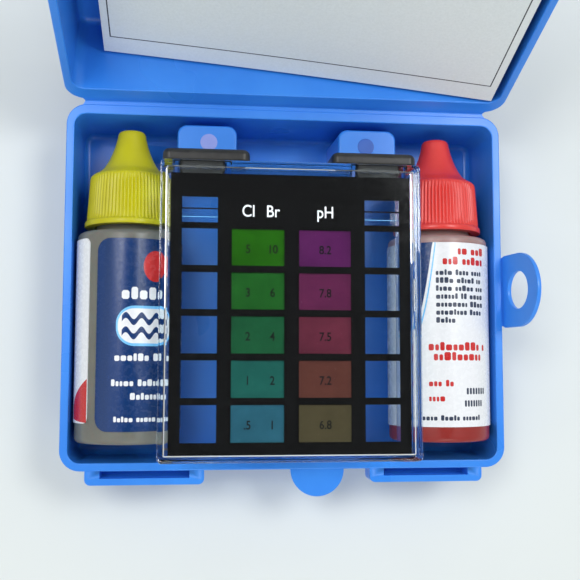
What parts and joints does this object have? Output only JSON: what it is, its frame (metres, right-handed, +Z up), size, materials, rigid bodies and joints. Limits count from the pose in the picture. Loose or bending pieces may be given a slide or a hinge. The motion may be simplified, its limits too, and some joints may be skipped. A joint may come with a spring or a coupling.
{
  "type": "pool water test kit",
  "caption": "Hinged blue plastic case holding two reagent dropper bottles and a clear colour comparator with stoppered sample cells, with a printed card in the lid and a ring tab to hang it by",
  "frame": {"origin": "centre of the flat underside of the case base", "axes": "+X to the right with the open case facing the user, +Y towards the case's hinge, +Z up"},
  "size_m": [0.1226, 0.159, 0.1194],
  "materials": {
    "case_blue": "glossy moulded polypropylene",
    "card_paper": "matt printed card",
    "bottle_plastic": "translucent natural polythene",
    "tip_plastic": "translucent natural polythene",
    "yellow_plastic": "glossy moulded plastic",
    "red_plastic": "glossy moulded plastic",
    "blue_film": "printed film",
    "white_film": "printed film",
    "clear_liquid": "clear liquid",
    "red_liquid": "clear red liquid",
    "clear_acrylic": "polished clear acrylic",
    "mask_film": "printed film",
    "chlorine_film": "dyed transparent film",
    "ph_film": "dyed transparent film",
    "black_plastic": "satin moulded plastic"
  },
  "bodies": {
    "base": {"case_base": "case_blue", "living_hinge": "case_blue"},
    "lid": {"case_lid": "case_blue", "instruction_card": "card_paper"},
    "hang_ring": {"hang_tab": "case_blue"},
    "left_bottle": {"yellow_bottle": "bottle_plastic", "yellow_dropper_tip": "tip_plastic", "yellow_label": "blue_film", "yellow_reagent": "clear_liquid"},
    "left_bottle_cap": {"yellow_cap": "yellow_plastic"},
    "right_bottle": {"red_bottle": "bottle_plastic", "red_dropper_tip": "tip_plastic", "red_label": "white_film", "red_reagent": "red_liquid"},
    "right_bottle_cap": {"red_cap": "red_plastic"},
    "comparator": {"comparator_front": "clear_acrylic", "comparator_back": "clear_acrylic", "scale_mask": "mask_film", "chlorine_standards": "chlorine_film", "ph_standards": "ph_film"},
    "left_stopper": {"left_cell_cap": "black_plastic"},
    "right_stopper": {"right_cell_cap": "black_plastic"}
  },
  "joints": [
    {"name": "lid_hinge", "type": "hinge", "parent": "base", "child": "lid", "pos_m": [0, 0.0485, 0.02165], "axis": [1, 0, 0], "range_deg": [-70, 110], "deforming": ["instruction_card"]},
    {"name": "hang_tab_fold", "type": "hinge", "parent": "base", "child": "hang_ring", "pos_m": [0.0599, -0.001, 0.0207], "axis": [0, 1, 0], "range_deg": [-5, 160]},
    {"name": "comparator_lift", "type": "slide", "parent": "base", "child": "comparator", "axis": [0, 0, 1], "range_m": [0, 0.1]},
    {"name": "left_bottle_lift", "type": "slide", "parent": "base", "child": "left_bottle", "axis": [0, 0, 1], "range_m": [0, 0.05]},
    {"name": "right_bottle_lift", "type": "slide", "parent": "base", "child": "right_bottle", "axis": [0, 0, 1], "range_m": [0, 0.05]},
    {"name": "left_cap_turn", "type": "hinge", "parent": "left_bottle", "child": "left_bottle_cap", "pos_m": [-0.0422, 0.03, 0.01595], "axis": [0, 1, 0], "range_deg": [0, 540]},
    {"name": "right_cap_turn", "type": "hinge", "parent": "right_bottle", "child": "right_bottle_cap", "pos_m": [0.0422, 0.03, 0.01595], "axis": [0, 1, 0], "range_deg": [0, 540]},
    {"name": "left_stopper_pull", "type": "slide", "parent": "comparator", "child": "left_stopper", "axis": [0, 1, 0], "range_m": [0, 0.012]},
    {"name": "right_stopper_pull", "type": "slide", "parent": "comparator", "child": "right_stopper", "axis": [0, 1, 0], "range_m": [0, 0.012]}
  ],
  "couplings": [
    {"joint": "left_bottle_lift", "follows": "comparator_lift", "ratio": 0.5},
    {"joint": "right_bottle_lift", "follows": "comparator_lift", "ratio": 0.5}
  ]
}
